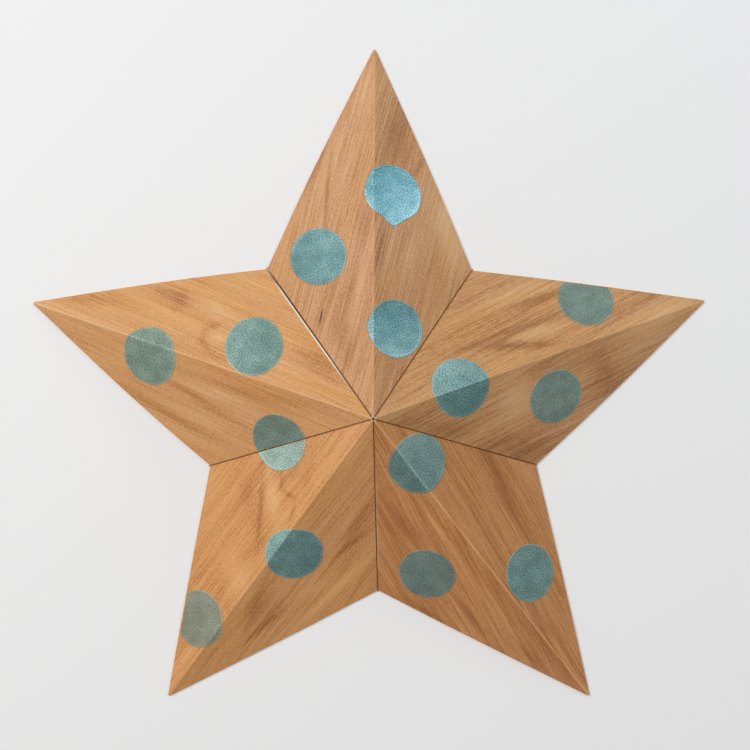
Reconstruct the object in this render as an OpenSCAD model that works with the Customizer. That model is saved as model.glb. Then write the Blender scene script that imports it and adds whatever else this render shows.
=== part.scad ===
// Five-point relief star: five folded sheets of backed wood veneer, joined at glue tabs and dabbed with dots.
// It lies on its back: the wall is the plane Z = 0, the peak points to +Z and the top point to +Y.
// Points count clockwise from the top, and each has a left side (-1) and a right side (1).

/* [Star] */
// Reach of a point, from the centre line to its tip
point_reach = 116; // [100:1:140]
// Reach of the inner corner between two points
corner_reach = 57; // [48:1:66]
// Height of the peak above the wall
peak_height = 28; // [20:1:38]

/* [Sheet] */
// Thickness of the veneer with its paper backing
sheet_t = 0.6; // [0.4:0.05:0.9]
// Width of the rounded ridge, at the tip
ridge_fold_w = 0.8; // [0.4:0.1:2]
// Width of the rounded tab fold, at the inner corner
tab_fold_w = 0.8; // [0.4:0.1:1.6]
// Depth of the glue tabs below their folds
tab_depth = 9; // [5:0.5:13]
// Reach at which the free edge of a tab starts
tab_start = 7; // [5:0.5:14]

/* [Seams] */
// Width of the glue line between two tabs
glue_line = 0.15; // [0.1:0.05:0.4]
// How far the seam left of the top point has opened at its outer end
open_seam = 0.3; // [0:0.1:1.5]

/* [Paint] */
// Diameter of the dots
dot_d = 18.5; // [14:0.5:21]
// Thickness of the paint
paint_t = 0.15; // [0.1:0.05:0.3]
// Length of the drip below the first dot
drip_l = 2; // [1:0.5:4]
// Width of the drip where it leaves the dot
drip_w = 7; // [4:0.5:10]

/* [Made by hand] */
// Extra reach of each tip
tip_extra = [2, -1.5, 1.5, -1.5, 0]; // [-3:0.5:3]
// Degrees that each tip leans clockwise
tip_lean = [0.75, -0.25, -1, 0.25, 0.5]; // [-2:0.25:2]
// Extra reach of the inner corner right of each point
corner_extra = [-0.5, -1, 1, -1.5, 1]; // [-3:0.5:3]
// Degrees that this corner leans clockwise
corner_lean = [-0.75, 0, -1.25, 0.5, 0.25]; // [-2:0.25:2]

/* [Hidden] */

// Each dot: its point, its centre as shares of the ways to the tip and to the right (or, below 0, left)
// corner, and how the sponge was pressed: leaning halfway to the face, over the ridge, over the seam or
// straight down
DOTS = [
    [0, 0.52, 0.19, "ridge"], [0, 0.22, -0.515, "down"], [0, 0.145, 0.215, "face"],
    [1, 0.52, -0.38, "face"], [1, 0.34, 0.40, "face"], [1, 0.25, 0, "ridge"],
    [2, 0.14, -0.07, "ridge"], [2, 0.23, 0.51, "face"], [2, 0.495, -0.285, "face"],
    [3, 0.37, -0.155, "face"], [3, 0.675, 0.21, "face"],
    [4, 0.25, 0.275, "down"], [4, 0.58, -0.125, "ridge"], [4, 0.02, -0.51, "seam"]
];
DRIPPING = DOTS[0];

POINTS = 5;
STEP_DEG = 360 / POINTS;
// A sheet's folds, from left to right: the left tab's, the ridge and the right tab's
FOLDS = [0, 1, 2];
UP = [0, 0, 1];
// Flat strips that a rounded fold is made of
FOLD_STEPS = 4;
VENEER = "#c8975f";
PAINT = "#5f9a98";
$fn = 96;

// The sheets stop this far from the centre line, where their tabs would foul each other, and leave a hole
nip = 1.6 * sheet_t;
// Width of a fold at the peak
peak_fold_w = sheet_t / 2;
// Height of the outer edge of the rim over the inner edge, which lies on the wall
rim_z = sheet_t * cos(atan(peak_height * rim_length() / (point_reach * corner_reach * sin(STEP_DEG / 2))));
// How far a dot reaches along its axis, to both sides of its centre
dab = dot_d / 2;

function rim_length() = norm(bearing(point_reach, 0) - bearing(corner_reach, STEP_DEG / 2));
function bearing(reach, turn) = reach * [sin(turn), cos(turn), 0];
function unit(v) = v / norm(v);
function flat(v) = [v[0], v[1], 0];
function next(i, side) = (i + side + POINTS) % POINTS;

// The place on the line from p along way that has height z
function at_height(p, way, z) = p + way * ((z - p[2]) / way[2]);

// The place shared by three planes, each given as [normal, distance from the origin along it]
function meet(a, b, c) =
    (a[1] * cross(b[0], c[0]) + b[1] * cross(c[0], a[0]) + c[1] * cross(a[0], b[0]))
    / (a[0] * cross(b[0], c[0]));

// Corners of the outer face of point i

function peak(i) = [0, 0, peak_height] + bearing(glue_line / 2 / sin(STEP_DEG / 2), i * STEP_DEG);

function tip(i) =
    bearing(point_reach + tip_extra[i], i * STEP_DEG + tip_lean[i]) + [0, 0, rim_z];

function seam_room(i, side) = glue_line / 2 + (i == 0 && side < 0 ? open_seam : 0);

function corner(i, side) =
    let (seam = side > 0 ? i : next(i, -1))
    let (turn = (seam + 0.5) * STEP_DEG + corner_lean[seam])
    bearing(corner_reach + corner_extra[seam], turn)
    - side * bearing(seam_room(i, side), turn + 90) + [0, 0, rim_z];

// Its folds, as ways from the peak to the rim, and the normals of its panels, from left to right

function fold_ways(i) = [for (rim = [corner(i, -1), tip(i), corner(i, 1)]) rim - peak(i)];

function face_normal(i, side) = unit(side * cross(corner(i, side) - peak(i), tip(i) - peak(i)));

function tab_normal(i, side) =
    let (way = unit(flat(corner(i, side) - peak(i))))
    side * [way[1], -way[0], 0];

function panel_normals(i) =
    [tab_normal(i, -1), face_normal(i, -1), face_normal(i, 1), tab_normal(i, 1)];

// Lines of one rounded fold, from the panel left of it to the panel right of it: [start, way, normal].
// They spread from the peak, so that a fold is sharp there and widest at the rim.
function rounded(start, way, left_normal, right_normal, rim_w) =
    let (to_left = unit(cross(left_normal, way)))
    let (to_right = unit(cross(way, right_normal)))
    [for (k = [0 : FOLD_STEPS])
        let (s = k / FOLD_STEPS)
        let (aside = ((1 - s) * (1 - s) * to_left + s * s * to_right) / 2)
        [start + peak_fold_w * aside,
         way + (rim_w - peak_fold_w) * aside,
         unit((1 - s) * left_normal + s * right_normal)]];

function fold_lines(i) =
    let (ways = fold_ways(i), normals = panel_normals(i), widths = [tab_fold_w, ridge_fold_w, tab_fold_w])
    [for (f = FOLDS) each rounded(peak(i), ways[f], normals[f], normals[f + 1], widths[f])];

// Each line from where the sheet is nipped off at the peak to its rim, raised by lift: [start, end]
function drawn(i, lines, lift = 0) =
    let (out = bearing(1, i * STEP_DEG))
    [for (line = lines)
        let (start = line[0], way = line[1], normal = line[2])
        [start + way * ((nip - start * out) / (way * out)) + lift * normal,
         at_height(start, way, sheet_t * normal[2]) + lift * normal]];

// The free edge of a tab: [start, end]
function tab_edge(i, side) =
    let (top = peak(i) - [0, 0, tab_depth], way = corner(i, side) - peak(i))
    [top + way * (tab_start / norm(flat(way))), at_height(top, way, 0)];

function moved(line, v) = [line[0] + v, line[1] + v];

// The sheet's back: the free edges of its tabs and its three folds, which are sharp on this side
function back_lines(i) =
    let (normals = panel_normals(i))
    let (planes = [for (n = normals) [n, n * peak(i) - sheet_t]])
    let (ends = [[bearing(1, i * STEP_DEG), nip], [UP, 0]])
    concat(
        [moved(tab_edge(i, -1), -sheet_t * normals[0])],
        [for (f = FOLDS) [for (end = ends) meet(planes[f], planes[f + 1], end)]],
        [moved(tab_edge(i, 1), -sheet_t * normals[len(FOLDS)])]
    );

// A closed sheet between the lines of its upper side and those of its lower side. Line k of the upper
// side lies over line under[k] of the lower side.
module skin(upper, lower, under) {
    nu = len(upper);
    nl = len(lower);
    up = [[for (k = [0 : nu - 1]) k], [for (k = [0 : nu - 1]) nu + k]];
    low = [[for (k = [0 : nl - 1]) 2 * nu + k], [for (k = [0 : nl - 1]) 2 * nu + nl + k]];
    steps = [for (k = [0 : nu - 2]) if (under[k] != under[k + 1]) k];
    polyhedron(
        points = [for (lines = [upper, lower]) for (end = [0, 1]) for (line = lines) line[end]],
        faces = concat(
            [for (k = [0 : nu - 2]) [up[0][k], up[1][k], up[1][k + 1], up[0][k + 1]]],
            [for (k = [0 : nl - 2]) [low[0][k], low[0][k + 1], low[1][k + 1], low[1][k]]],
            [for (k = [0 : nu - 2]) [up[1][k], low[1][under[k]], up[1][k + 1]]],
            [for (k = steps) [up[1][k + 1], low[1][under[k]], low[1][under[k + 1]]]],
            [for (k = [0 : nu - 2]) [up[0][k], up[0][k + 1], low[0][under[k]]]],
            [for (k = steps) [up[0][k + 1], low[0][under[k + 1]], low[0][under[k]]]],
            [[up[1][0], up[0][0], low[0][0], low[1][0]]],
            [[up[0][nu - 1], up[1][nu - 1], low[1][nl - 1], low[0][nl - 1]]]
        )
    );
}

// One point of the star, with its tabs
module folded_sheet(i) {
    lines = fold_lines(i);
    upper = concat([tab_edge(i, -1)], drawn(i, lines), [tab_edge(i, 1)]);
    // The back's lines are the left tab's edge, the folds and the right tab's edge
    under_folds = [for (f = FOLDS) for (k = [0 : FOLD_STEPS]) f + 1];
    color(VENEER) skin(upper, back_lines(i), concat([0], under_folds, [len(FOLDS) + 1]));
}

// A layer of paint all over the two faces of point i, which the dots are taken from
module paint_layer(i) {
    lines = fold_lines(i);
    faces = [for (k = [FOLD_STEPS : len(lines) - 1 - FOLD_STEPS]) lines[k]];
    skin(drawn(i, faces, paint_t), drawn(i, faces), [for (k = [0 : len(faces) - 1]) k]);
}

// The face that the dot's centre is on, and the one over the ridge or the seam that it also touches
function dot_side(dot) = dot[2] < 0 ? -1 : 1;

function dot_axis(dot) =
    let (i = dot[0], side = dot_side(dot), own = face_normal(i, side))
    dot[3] == "ridge" ? unit(own + face_normal(i, -side)) :
    dot[3] == "seam" ? unit(own + face_normal(next(i, side), -side)) :
    dot[3] == "down" ? UP :
    unit(own + UP);

function dot_centre(dot) =
    let (i = dot[0])
    peak(i) + dot[1] * (tip(i) - peak(i)) + abs(dot[2]) * (corner(i, dot_side(dot)) - peak(i));

module dot_outline(dripping) {
    circle(d = dot_d);
    if (dripping) {
        shoulder = sqrt(dot_d * dot_d - drip_w * drip_w) / 2;
        polygon([[-drip_w / 2, -shoulder], [0, -dot_d / 2 - drip_l], [drip_w / 2, -shoulder]]);
    }
}

module dot_column(dot) {
    axis = dot_axis(dot);
    translate(dot_centre(dot))
        rotate(a = acos(axis[2]), v = cross(UP, axis))
            linear_extrude(height = 2 * dab, center = true)
                dot_outline(dot == DRIPPING);
}

// The dots of point i, with its side of any dot that lies over a seam
module dots_on(i) {
    own = [for (dot = DOTS) if (dot[0] == i) dot];
    shared = [for (dot = DOTS) if (dot[3] == "seam" && next(dot[0], dot_side(dot)) == i) dot];
    color(PAINT)
        for (dot = concat(own, shared))
            intersection() {
                paint_layer(i);
                dot_column(dot);
            }
}

module top_point() { folded_sheet(0); }
module right_point() { folded_sheet(1); }
module lower_right_point() { folded_sheet(2); }
module lower_left_point() { folded_sheet(3); }
module left_point() { folded_sheet(4); }
module top_dots() { dots_on(0); }
module right_dots() { dots_on(1); }
module lower_right_dots() { dots_on(2); }
module lower_left_dots() { dots_on(3); }
module left_dots() { dots_on(4); }

top_point();
right_point();
lower_right_point();
lower_left_point();
left_point();
top_dots();
right_dots();
lower_right_dots();
lower_left_dots();
left_dots();
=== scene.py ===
# %% [markdown]
# # Dressing a star of folded wood veneer
# The star is five sheets of thin veneer. Each is folded along its ridge, and its two sides are folded back
# into tabs that are glued to the neighbouring sheets. Fourteen dots were dabbed on afterwards with a round
# sponge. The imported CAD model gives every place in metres, so it is loaded first. Its box is kept, because
# the dressed star has to stay inside it.

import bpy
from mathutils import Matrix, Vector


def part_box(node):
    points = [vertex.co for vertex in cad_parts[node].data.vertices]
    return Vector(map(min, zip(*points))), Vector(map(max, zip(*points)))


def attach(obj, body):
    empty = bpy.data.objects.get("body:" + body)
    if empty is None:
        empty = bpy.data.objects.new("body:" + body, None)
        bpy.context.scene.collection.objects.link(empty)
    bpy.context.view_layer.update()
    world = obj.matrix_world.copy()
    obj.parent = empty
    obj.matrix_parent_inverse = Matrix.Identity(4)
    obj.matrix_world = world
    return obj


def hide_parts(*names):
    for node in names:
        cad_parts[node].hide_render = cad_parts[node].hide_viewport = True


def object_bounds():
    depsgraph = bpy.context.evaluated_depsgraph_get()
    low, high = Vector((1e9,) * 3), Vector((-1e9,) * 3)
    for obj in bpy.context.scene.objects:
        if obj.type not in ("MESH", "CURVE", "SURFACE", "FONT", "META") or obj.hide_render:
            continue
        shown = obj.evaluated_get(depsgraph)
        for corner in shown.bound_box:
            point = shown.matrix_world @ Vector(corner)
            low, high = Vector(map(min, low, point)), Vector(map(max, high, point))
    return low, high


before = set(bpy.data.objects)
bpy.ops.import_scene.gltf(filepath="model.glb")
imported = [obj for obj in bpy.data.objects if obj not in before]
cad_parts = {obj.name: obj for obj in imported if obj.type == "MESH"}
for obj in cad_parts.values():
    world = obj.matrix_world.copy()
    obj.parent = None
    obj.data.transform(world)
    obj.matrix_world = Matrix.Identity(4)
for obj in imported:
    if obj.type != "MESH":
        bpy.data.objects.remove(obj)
cad_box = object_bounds()
print("CAD nodes:", ", ".join(sorted(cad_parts)))

# %% [markdown]
# ## Where the folds are
# A folded sheet is known by its flat panels: two faces that show, and two tabs that stand upright in the
# seams. We could type their corners in again, but then a changed model would leave the looks behind. So we
# read the plane of each panel from the CAD mesh, where the largest polygon of a panel gives the best normal.

# %% Read the planes of the panels
import math

import bmesh
import bpy
import numpy as np
from mathutils import Matrix, Vector, noise
from mathutils.bvhtree import BVHTree

MM = 0.001
POINTS = ("top", "right", "lower_right", "lower_left", "left")
STEP = math.tau / len(POINTS)
LEFT, RIGHT = -1, 1
# A face or its back points up or down by at least this, and a tab's normal points inwards by at least that
FACE_RISE = 0.5
TAB_INWARD = 0.3
UP = np.array([0.0, 0.0, 1.0])


def outward(index):
    """The way from the centre line to the tip of a point. Points count clockwise from the top."""
    return np.array([math.sin(index * STEP), math.cos(index * STEP), 0.0])


def panel_planes(index):
    """The planes of a sheet's panels, as {(kind, side): (normal, distance from the origin)}."""
    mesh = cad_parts[f"{POINTS[index]}_point"].data
    out = outward(index)
    to_right = np.cross(out, UP)
    largest = {}
    for polygon in mesh.polygons:
        normal = np.array(polygon.normal)
        side = RIGHT if normal @ to_right > 0 else LEFT
        if abs(normal[2]) > FACE_RISE:
            kind = "face" if normal[2] > 0 else "back"
        elif normal @ out < -TAB_INWARD:
            kind = "tab"
        else:
            continue
        if polygon.area > largest.get((kind, side), (0.0,))[0]:
            corner = np.array(mesh.vertices[polygon.vertices[0]].co)
            largest[kind, side] = (polygon.area, normal, normal @ corner)
    return {panel: (normal, distance) for panel, (area, normal, distance) in largest.items()}


planes = [panel_planes(index) for index in range(len(POINTS))]
tilts = [math.degrees(math.acos(sheet["face", RIGHT][0][2])) for sheet in planes]
print("Right faces tilt by", ", ".join(f"{tilt:.1f}" for tilt in tilts), "degrees")

# %% [markdown]
# ## The lines of a sheet
# A ridge is where two faces meet, and a seam is where a face meets its tab. All three folds start at the
# peak, where three of the planes share one place. A real fold in veneer isn't sharp on the outside: the
# fibres bend over a small round, which is tight at the peak and wider at the rim. On the back it is sharp.

# %% Find each sheet's peak, folds and tab edges
from dataclasses import dataclass

# A vertex this far under a face belongs to the free edge of a tab, and one this near a plane lies on it
EDGE_DEPTH = 1.0 * MM
ON_PLANE = 0.01 * MM


@dataclass
class Sheet:
    """One folded sheet, as the CAD model has it."""

    name: str
    out: np.ndarray
    thickness: float
    panels: list
    peak: np.ndarray
    ways: list
    tab_edges: list

    def corner(self, side):
        return self.peak + self.ways[1 + side]

    def normal(self, side):
        return self.panels[1 if side == LEFT else 2][0]


def meet(first, second, third):
    """The place that three planes share."""
    return np.linalg.solve([first[0], second[0], third[0]], [first[1], second[1], third[1]])


def tab_edge(index, tab, face, peak):
    """The free edge of a tab, from its start near the peak to its end at the floor."""
    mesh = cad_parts[f"{POINTS[index]}_point"].data
    places = np.array([vertex.co for vertex in mesh.vertices])
    on_tab = np.abs(places @ tab[0] - tab[1]) < ON_PLANE
    below = places @ face[0] - face[1] < -EDGE_DEPTH
    edge = places[on_tab & below]
    reach = np.linalg.norm(edge - peak, axis=1)
    return np.array([edge[reach.argmin()], edge[reach.argmax()]])


def read_sheet(index):
    """Everything about one sheet that its looks are built from."""
    found = planes[index]
    panels = [found["tab", LEFT], found["face", LEFT], found["face", RIGHT], found["tab", RIGHT]]
    peak = meet(panels[0], panels[1], panels[2])
    thickness = found["face", RIGHT][1] + found["back", LEFT][1]
    ways = []
    for one, other in zip(panels, panels[1:]):
        way = np.cross(one[0], other[0])
        way *= np.sign(way @ outward(index))
        rim_height = thickness * found["face", RIGHT][0][2]
        ways.append(way * (rim_height - peak[2]) / way[2])
    edges = [tab_edge(index, panels[0], panels[1], peak), tab_edge(index, panels[3], panels[2], peak)]
    return Sheet(POINTS[index], outward(index), thickness, panels, peak, ways, edges)


sheets = [read_sheet(index) for index in range(len(POINTS))]
for sheet in sheets:
    print(f"{sheet.name}: ridge {np.linalg.norm(sheet.ways[1]) / MM:.1f} mm,"
          f" sheet {sheet.thickness / MM:.2f} mm thick")

# %% [markdown]
# ## A grid for a folded sheet
# Veneer bends but doesn't stretch, so we build each sheet as lines that run from the peak to the rim, like
# the ribs of a fan, with rows across them. A Solidify modifier could give the thickness, but at the peak the
# folds are tighter than the sheet is thick and it would fold into itself. So the back gets its own lines,
# with one sharp line under each rounded fold. Each line is kept as its start and its end.

# %% Rounded folds and the lines between them
# The widths of the left seam's fold, the ridge's and the right seam's
FOLD_WIDTHS_AT_RIM = (0.4 * MM, 0.8 * MM, 0.4 * MM)
FOLD_STRIPS = 8
FACE_LINES = 44
TAB_SHARES = (1 / 3, 2 / 3)
# In thicknesses: the width of a fold at the peak, and how far from the centre line the sheets stop, on the
# front and on the back
PEAK_FOLD = 0.16
FRONT_NIP = 0.5
BACK_NIP = 1.6
# Lines crowd towards the folds, so that the flat of a face stays flat in the shading
FACE_SHARES = [(1 - math.cos(math.pi * line / FACE_LINES)) / 2 for line in range(1, FACE_LINES)]


def rounded_fold(sheet, fold):
    """The lines of a rounded fold, from the panel on its left to the panel on its right."""
    way = sheet.ways[fold]
    left_normal, right_normal = sheet.panels[fold][0], sheet.panels[fold + 1][0]
    to_left = np.cross(left_normal, way) / np.linalg.norm(way)
    to_right = np.cross(way, right_normal) / np.linalg.norm(way)
    width_at_peak = PEAK_FOLD * sheet.thickness
    lines = []
    for strip in range(FOLD_STRIPS + 1):
        share = strip / FOLD_STRIPS
        aside = ((1 - share) ** 2 * to_left + share ** 2 * to_right) / 2
        normal = (1 - share) * left_normal + share * right_normal
        normal /= np.linalg.norm(normal)
        start = sheet.peak + width_at_peak * aside
        along = way + (FOLD_WIDTHS_AT_RIM[fold] - width_at_peak) * aside
        nipped = start + along * ((FRONT_NIP * sheet.thickness - start @ sheet.out) / (along @ sheet.out))
        rim = start + along * ((sheet.thickness * normal[2] - start[2]) / along[2])
        lines.append(np.array([nipped, rim]))
    return lines


def sharp_fold(sheet, fold):
    """The one line of a fold on the back of the sheet."""
    inner = [(normal, distance - sheet.thickness) for normal, distance in sheet.panels[fold:fold + 2]]
    nip_plane = (sheet.out, BACK_NIP * sheet.thickness)
    return np.array([meet(*inner, nip_plane), meet(*inner, (UP, 0.0))])


def fan_of_lines(sheet):
    """Lines of the front and of the back, the back line under each front line, and each line's face."""
    edges = sheet.tab_edges
    front = [[edges[0]], *[rounded_fold(sheet, fold) for fold in range(3)], [edges[1]]]
    back = [edges[0] - sheet.thickness * sheet.panels[0][0],
            *[sharp_fold(sheet, fold) for fold in range(3)],
            edges[1] - sheet.thickness * sheet.panels[3][0]]
    shares = [TAB_SHARES, FACE_SHARES, FACE_SHARES, TAB_SHARES]
    tops, bottoms, under, places = [], [], [], []
    for group in range(5):
        tops += front[group]
        under += [len(bottoms)] * len(front[group])
        places += [(None, 0.0)] * len(front[group])
        bottoms.append(back[group])
        if group == 4:
            break
        for share in shares[group]:
            tops.append((1 - share) * front[group][-1] + share * front[group + 1][0])
            under.append(len(bottoms))
            bottoms.append((1 - share) * back[group] + share * back[group + 1])
            places.append((group - 1 if group in (1, 2) else None, share))
    return np.array(tops), np.array(bottoms), np.array(under), places


front_lines = len(fan_of_lines(sheets[0])[0])
print(f"Each sheet has {front_lines} lines on its front")

# %% [markdown]
# ## Handmade, not machined
# A face of veneer is never quite flat: it crowns a little between the glued seam and the stiff ridge, so its
# rim swells outwards, and the knife wanders by a hair. The folds hold the sheet straight, so the crown fades
# to nothing there. A rim that swells also has to lift, because the star lies on it: the two are tied by the
# tilt of the face. The peak is worn down to the height that the CAD model has. The noise is Blender's own and
# has no random seed, so every run gives the same sheet.

# %% Crown the faces and cut the rims by hand
# How far the middle of each rim swells, left and right of the ridge, in millimetres
CROWNS = [(0.8, 0.6), (0.4, 0.6), (0.3, 0.3), (0.3, 0.2), (1.0, 0.7)]
RIPPLE = 0.07 * MM
RIPPLE_LENGTH = 16 * MM
KNIFE_WANDER = 0.1 * MM
KNIFE_LENGTH = 9 * MM
# The knife wanders along most of a rim, so its wander fades only close to the folds
WANDER_FADE = 0.25
ROWS = 60
row_shares = np.linspace(0.0, 1.0, ROWS + 1)


def soft_noise(place, length):
    """Smooth noise from 0 to 1, with lumps of about the given length."""
    return 0.5 + 0.5 * noise.noise(Vector(place) / length)


def lay_out(sheet, lines, places):
    """The places of a grid: lines by rows, with the crown and the hand-cut rim."""
    crowns = CROWNS[POINTS.index(sheet.name)]
    grid = np.empty((len(lines), len(row_shares), 3))
    for number, ((start, end), (face, share)) in enumerate(zip(lines, places)):
        if face is None:
            grid[number] = start + row_shares[:, None] * (end - start)
            continue
        normal = sheet.normal(RIGHT if face == 1 else LEFT)
        fade = math.sin(math.pi * share)
        swell = crowns[face] * MM * fade
        wander = KNIFE_WANDER * fade ** WANDER_FADE * soft_noise(end, KNIFE_LENGTH)
        way = (end - start) / np.linalg.norm(end - start)
        fall = -way[2] / normal[2]
        straight = start + row_shares[:, None] * (end + way * (swell - wander) - start)
        ripple = np.array([soft_noise(place, RIPPLE_LENGTH) for place in straight])
        lift = swell * fall * row_shares ** 2 + RIPPLE * fade * ripple
        grid[number] = straight + lift[:, None] * normal
    grid[:, :, 2] = np.minimum(grid[:, :, 2], cad_box[1][2])
    return grid


def sheet_grids(sheet):
    """Front and back of a sheet as grids of places, and which back line lies under each front line."""
    tops, bottoms, under, places = fan_of_lines(sheet)
    back_places = [places[list(under).index(number)] for number in range(len(bottoms))]
    return lay_out(sheet, tops, places), lay_out(sheet, bottoms, back_places), under


grids = [sheet_grids(sheet) for sheet in sheets]
lowest = min(front[:, :, 2].min() for front, back, under in grids)
print(f"Lowest place on the fronts: {lowest / MM:.2f} mm")

# %% [markdown]
# ## Flat coordinates for the grain
# The grain was in the veneer before it was folded, so it has to run over the ridge without a break. We give
# every vertex its place on the flat, unfolded sheet: its distance from the peak, and the angle that has been
# walked from the ridge. The materials read it as an attribute in millimetres, with x across the ridge and y
# along it. Two more hold the distance to the left and to the right seam, for painted shade and frayed paper.

# %% Unfold a sheet and measure to its seams
RIDGE_LINE = 1 + len(TAB_SHARES) + FOLD_STRIPS + 1 + len(FACE_SHARES) + FOLD_STRIPS // 2


def unfolded(sheet, grid, ridge_line):
    """The place of each grid vertex on the flat sheet, in millimetres."""
    from_peak = grid - sheet.peak
    reach = np.linalg.norm(from_peak, axis=2)
    ways = from_peak / reach[:, :, None]
    cosines = np.clip((ways[1:] * ways[:-1]).sum(axis=2), -1.0, 1.0)
    turned = np.vstack([np.zeros((1, grid.shape[1])), np.cumsum(np.arccos(cosines), axis=0)])
    turned -= turned[ridge_line]
    return np.stack([reach * np.sin(turned), reach * np.cos(turned), 0 * reach], axis=2) / MM


def distance_to(places, start, end):
    """Distance in millimetres from each place to the straight line between two places."""
    way = end - start
    share = np.clip((places - start) @ way / (way @ way), 0.0, 1.0)
    return np.linalg.norm(places - start - share[..., None] * way, axis=-1) / MM


for sheet, (front, back, under) in zip(sheets, grids):
    flat_size = np.ptp(unfolded(sheet, front, RIDGE_LINE).reshape(-1, 3), axis=0)
    print(f"{sheet.name}: flat blank with its tabs {flat_size[0]:.0f} by {flat_size[1]:.0f} mm")

# %% [markdown]
# ## From grids to a closed mesh
# The two grids become the front and the back, and short faces join them along the rim, the tab edges and the
# nipped peak. Polygons carry a material number: 0 for the veneer, 1 for the paper on its back, 2 for the cut
# edge. Smooth shading rounds the folds, and edges sharper than a limit are marked so that cuts stay crisp.

# %% Join two grids
FRONT, BACK, CUT = 0, 1, 2


def grid_numbers(grid, first):
    """The vertex numbers of a grid whose first vertex has the given number."""
    return first + np.arange(grid.shape[0] * grid.shape[1]).reshape(grid.shape[:2])


def closed_faces(top, bottom, under):
    """The polygons of a closed sheet and the material number of each."""
    faces, kinds = [], []

    def put(kind, *corners):
        faces.append([int(corner) for corner in dict.fromkeys(corners)])
        kinds.append(kind)

    last = top.shape[1] - 1
    for line in range(len(top) - 1):
        for row in range(last):
            put(FRONT, top[line, row], top[line + 1, row], top[line + 1, row + 1], top[line, row + 1])
        below, beside = under[line], under[line + 1]
        put(CUT, top[line, last], top[line + 1, last], bottom[beside, last], bottom[below, last])
        put(CUT, top[line + 1, 0], top[line, 0], bottom[below, 0], bottom[beside, 0])
    for line in range(len(bottom) - 1):
        for row in range(last):
            put(BACK, bottom[line, row], bottom[line, row + 1],
                bottom[line + 1, row + 1], bottom[line + 1, row])
    for row in range(last):
        put(CUT, top[0, row], top[0, row + 1], bottom[0, row + 1], bottom[0, row])
        put(CUT, top[-1, row + 1], top[-1, row], bottom[-1, row], bottom[-1, row + 1])
    return faces, kinds


print(f"The front of a sheet has {ROWS * (front_lines - 1)} polygons")

# %% Build the sheets
SHARP_EDGE = math.radians(30)


def give_attribute(mesh, name, values):
    """Stores one number or one vector for each vertex, for the materials to read."""
    values = np.asarray(values, dtype=np.float32)
    vector = values.ndim == 2
    attribute = mesh.attributes.new(name, "FLOAT_VECTOR" if vector else "FLOAT", "POINT")
    attribute.data.foreach_set("vector" if vector else "value", values.ravel())


def new_object(name, mesh):
    """An object in the scene that rides on the star's one body."""
    made = bpy.data.objects.new(name, mesh)
    bpy.context.scene.collection.objects.link(made)
    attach(made, "root")
    return made


def build_sheet(sheet, front, back, under):
    """One closed sheet with its attributes."""
    top = grid_numbers(front, 0)
    bottom = grid_numbers(back, top.size)
    places = np.vstack([front.reshape(-1, 3), back.reshape(-1, 3)])
    faces, kinds = closed_faces(top, bottom, under)
    mesh = bpy.data.meshes.new(f"{sheet.name}_point_veneer")
    mesh.from_pydata(places, [], faces)
    mesh.polygons.foreach_set("material_index", kinds)
    flat = np.vstack([unfolded(sheet, front, RIDGE_LINE).reshape(-1, 3),
                      unfolded(sheet, back, under[RIDGE_LINE]).reshape(-1, 3)])
    give_attribute(mesh, "flat_mm", flat)
    for name, side in (("left_seam_mm", LEFT), ("right_seam_mm", RIGHT)):
        give_attribute(mesh, name, distance_to(places, sheet.peak, sheet.corner(side)))
    mesh.shade_smooth()
    mesh.set_sharp_from_angle(angle=SHARP_EDGE)
    piece = new_object(f"{sheet.name}_point_veneer", mesh)
    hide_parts(f"{sheet.name}_point")
    return piece


veneer_pieces = [build_sheet(sheet, *grid) for sheet, grid in zip(sheets, grids)]
for piece in veneer_pieces:
    measured = bmesh.new()
    measured.from_mesh(piece.data)
    print(f"{piece.name}: {len(piece.data.polygons)} polygons, {measured.calc_volume() / MM ** 3:.0f} mm3")
    measured.free()

# %% [markdown]
# ## Short words for shader nodes
# Materials made in code soon fill with links. Three small helpers keep them readable: one adds a node and
# plugs in its inputs, one does arithmetic, and one makes noise that is stretched along the grain.

# %% Helpers for materials
def add(tree, kind, inputs=None, **settings):
    """A new node with its settings, and with values or links on its inputs."""
    made = tree.nodes.new(kind)
    for name, value in settings.items():
        setattr(made, name, value)
    for name, value in (inputs or {}).items():
        if isinstance(value, bpy.types.NodeSocket):
            tree.links.new(value, made.inputs[name])
        else:
            made.inputs[name].default_value = value
    return made


def sum_of(tree, operation, *values):
    """The result of one arithmetic node."""
    return add(tree, "ShaderNodeMath", dict(enumerate(values)), operation=operation).outputs[0]


def stretched_noise(tree, place, per_mm, seed, detail=2.0, rough=0.5):
    """Noise from 0 to 1. per_mm says how many lumps there are to a millimetre, along x and y."""
    scaled = add(tree, "ShaderNodeVectorMath", {0: place, 1: (*per_mm, 1.0)}, operation="MULTIPLY")
    moved = add(tree, "ShaderNodeVectorMath", {0: scaled.outputs[0], 1: (0.0, 0.0, seed)}, operation="ADD")
    settings = {"Vector": moved.outputs[0], "Scale": 1.0, "Detail": detail, "Roughness": rough}
    return add(tree, "ShaderNodeTexNoise", settings).outputs["Fac"]


def between(tree, value, low, high, out_low=0.0, out_high=1.0):
    """A value moved smoothly from one range to another."""
    settings = {"Value": value, "From Min": low, "From Max": high, "To Min": out_low, "To Max": out_high}
    return add(tree, "ShaderNodeMapRange", settings, interpolation_type="SMOOTHSTEP").outputs[0]


def attribute(tree, name, output="Fac"):
    """A number or vector that the mesh carries."""
    return add(tree, "ShaderNodeAttribute", attribute_name=name).outputs[output]


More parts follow.
